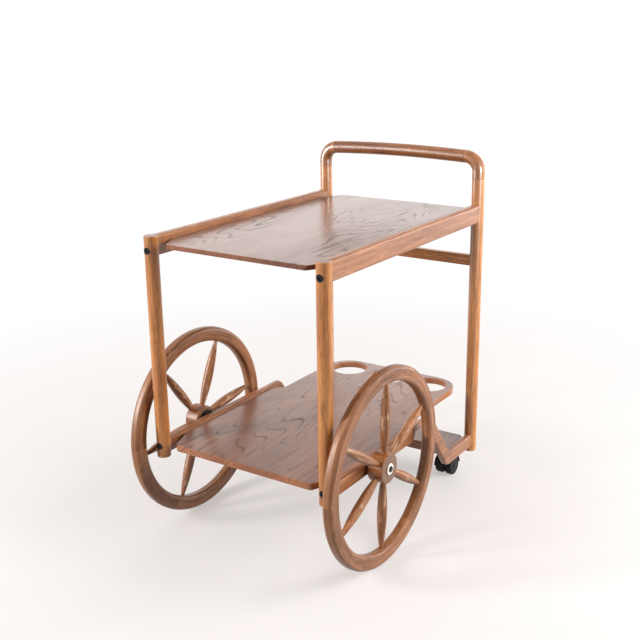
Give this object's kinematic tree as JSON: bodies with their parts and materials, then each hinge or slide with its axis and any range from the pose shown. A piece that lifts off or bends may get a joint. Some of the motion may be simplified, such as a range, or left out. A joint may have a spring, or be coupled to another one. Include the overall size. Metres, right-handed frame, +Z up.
{
  "type": "serving cart",
  "caption": "Wooden serving cart with a lipped tray, a lower shelf with bottle holes, tall spoked wheels at the front, swivel casters at the rear and a round bar handle.",
  "frame": {"origin": "on the floor, in the middle of the cart's plan", "axes": "+X to the cart's right, +Y from the front posts back to the handle, +Z up"},
  "size_m": [0.495, 0.672, 0.752],
  "materials": {
    "frame_wood": "satin lacquer",
    "wheel_wood": "satin lacquer",
    "veneer": "semi-gloss lacquer",
    "dowel_wood": "raw",
    "black_steel": "satin black",
    "zinc_steel": "zinc plated",
    "white_nylon": "moulded",
    "black_plastic": "moulded",
    "caster_tread": "hard tread"
  },
  "bodies": {
    "frame": {"upper_tray": "veneer", "rear_cross_rail": "frame_wood", "cross_rail_dowels": "dowel_wood", "handle_bar": "frame_wood", "handle_dowels": "dowel_wood", "lower_shelf": "veneer", "shelf_dowels": "dowel_wood", "bottle_batten": "frame_wood", "bottle_board": "veneer", "board_screws": "zinc_steel", "batten_dowels": "dowel_wood", "front_bolts": "black_steel", "rear_bolts": "black_steel", "barrel_nuts": "black_steel", "front_post_right": "frame_wood", "rear_post_right": "frame_wood", "upper_rail_right": "frame_wood", "handle_corner_right": "frame_wood", "lower_rail_right": "frame_wood", "rear_bracket_right": "frame_wood", "axle_right": "black_steel", "axle_spacer_right": "black_plastic", "axle_retainer_right": "white_nylon", "caster_socket_right": "zinc_steel", "front_post_left": "frame_wood", "rear_post_left": "frame_wood", "upper_rail_left": "frame_wood", "handle_corner_left": "frame_wood", "lower_rail_left": "frame_wood", "rear_bracket_left": "frame_wood", "axle_left": "black_steel", "axle_spacer_left": "black_plastic", "axle_retainer_left": "white_nylon", "caster_socket_left": "zinc_steel"},
    "wheel_right": {"wheel_rim_right": "wheel_wood", "wheel_hub_right": "wheel_wood", "wheel_spokes_right": "wheel_wood", "hub_bush_right": "white_nylon"},
    "swivel_right": {"caster_stem_right": "zinc_steel", "caster_hood_right": "black_plastic", "caster_axle_right": "black_steel"},
    "roller_inner_right": {"caster_wheel_inner_right": "caster_tread"},
    "roller_outer_right": {"caster_wheel_outer_right": "caster_tread"},
    "wheel_left": {"wheel_rim_left": "wheel_wood", "wheel_hub_left": "wheel_wood", "wheel_spokes_left": "wheel_wood", "hub_bush_left": "white_nylon"},
    "swivel_left": {"caster_stem_left": "zinc_steel", "caster_hood_left": "black_plastic", "caster_axle_left": "black_steel"},
    "roller_inner_left": {"caster_wheel_inner_left": "caster_tread"},
    "roller_outer_left": {"caster_wheel_outer_left": "caster_tread"}
  },
  "joints": [
    {"name": "wheel_right_spin", "type": "hinge", "parent": "frame", "child": "wheel_right", "pos_m": [0.23, -0.136, 0.2], "axis": [1, 0, 0], "continuous": true},
    {"name": "caster_right_swivel", "type": "hinge", "parent": "frame", "child": "swivel_right", "pos_m": [0.158, 0.268, 0.06], "axis": [0, 0, 1], "continuous": true},
    {"name": "roller_inner_right_spin", "type": "hinge", "parent": "swivel_right", "child": "roller_inner_right", "pos_m": [0.146, 0.282, 0.022], "axis": [1, 0, 0], "continuous": true},
    {"name": "roller_outer_right_spin", "type": "hinge", "parent": "swivel_right", "child": "roller_outer_right", "pos_m": [0.17, 0.282, 0.022], "axis": [1, 0, 0], "continuous": true},
    {"name": "wheel_left_spin", "type": "hinge", "parent": "frame", "child": "wheel_left", "pos_m": [-0.23, -0.136, 0.2], "axis": [1, 0, 0], "continuous": true},
    {"name": "caster_left_swivel", "type": "hinge", "parent": "frame", "child": "swivel_left", "pos_m": [-0.158, 0.268, 0.06], "axis": [0, 0, 1], "continuous": true},
    {"name": "roller_inner_left_spin", "type": "hinge", "parent": "swivel_left", "child": "roller_inner_left", "pos_m": [-0.146, 0.282, 0.022], "axis": [1, 0, 0], "continuous": true},
    {"name": "roller_outer_left_spin", "type": "hinge", "parent": "swivel_left", "child": "roller_outer_left", "pos_m": [-0.17, 0.282, 0.022], "axis": [1, 0, 0], "continuous": true}
  ]
}
